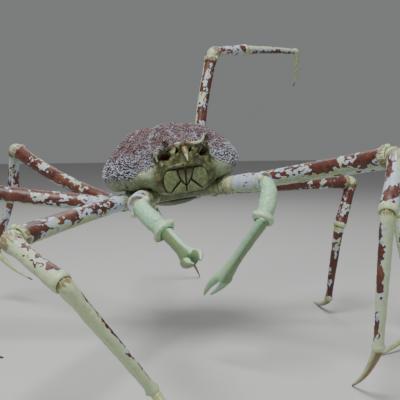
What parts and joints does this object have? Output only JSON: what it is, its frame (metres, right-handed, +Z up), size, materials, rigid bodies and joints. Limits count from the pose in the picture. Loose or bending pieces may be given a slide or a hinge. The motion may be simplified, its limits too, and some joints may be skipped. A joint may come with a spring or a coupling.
{
  "type": "japanese spider crab",
  "caption": "Life-size still model of a Japanese spider crab with a domed, tuberculate carapace, very long jointed legs and slender claws, standing with one hind leg raised.",
  "frame": {"origin": "on the floor under the middle of the whole animal's bounding box; all standing feet rest on the plane z = 0", "axes": "+Z up, -Y the way the crab faces, +X towards the crab's left side"},
  "size_m": [0.9964, 1.0192, 0.6244],
  "materials": {
    "shell_top": "rough shell, purplish pink-brown with pale lavender tubercles",
    "shell_pale": "smooth shell, pale green-cream",
    "leg_rust": "satin shell, rust-brown blotches over cream",
    "claw_pale": "satin shell, mint-cream to olive-yellow",
    "eye_dark": "glossy dark brown"
  },
  "bodies": {
    "root": {"abdomen": "shell_pale", "antenna_L": "shell_pale", "antenna_R": "shell_pale", "carapace": "shell_top", "claw_L_carpus": "claw_pale", "claw_L_coxa": "shell_pale", "claw_L_finger": "claw_pale", "claw_L_merus": "leg_rust", "claw_L_palm": "claw_pale", "claw_R_carpus": "claw_pale", "claw_R_coxa": "shell_pale", "claw_R_finger": "claw_pale", "claw_R_merus": "leg_rust", "claw_R_palm": "claw_pale", "eye_L": "eye_dark", "eye_R": "eye_dark", "leg_L1_carpus": "leg_rust", "leg_L1_coxa": "shell_pale", "leg_L1_dactyl": "claw_pale", "leg_L1_merus": "leg_rust", "leg_L1_propodus": "leg_rust", "leg_L2_carpus": "leg_rust", "leg_L2_coxa": "shell_pale", "leg_L2_dactyl": "claw_pale", "leg_L2_merus": "leg_rust", "leg_L2_propodus": "leg_rust", "leg_L3_carpus": "leg_rust", "leg_L3_coxa": "shell_pale", "leg_L3_dactyl": "claw_pale", "leg_L3_merus": "leg_rust", "leg_L3_propodus": "leg_rust", "leg_L4_carpus": "leg_rust", "leg_L4_coxa": "shell_pale", "leg_L4_dactyl": "claw_pale", "leg_L4_merus": "leg_rust", "leg_L4_propodus": "leg_rust", "leg_R1_carpus": "leg_rust", "leg_R1_coxa": "shell_pale", "leg_R1_dactyl": "claw_pale", "leg_R1_merus": "leg_rust", "leg_R1_propodus": "leg_rust", "leg_R2_carpus": "leg_rust", "leg_R2_coxa": "shell_pale", "leg_R2_dactyl": "claw_pale", "leg_R2_merus": "leg_rust", "leg_R2_propodus": "leg_rust", "leg_R3_carpus": "leg_rust", "leg_R3_coxa": "shell_pale", "leg_R3_dactyl": "claw_pale", "leg_R3_merus": "leg_rust", "leg_R3_propodus": "leg_rust", "leg_R4_carpus": "leg_rust", "leg_R4_coxa": "shell_pale", "leg_R4_dactyl": "claw_pale", "leg_R4_merus": "leg_rust", "leg_R4_propodus": "leg_rust", "maxilliped_L": "shell_pale", "maxilliped_R": "shell_pale", "thorax": "shell_pale"}
  },
  "joints": []
}
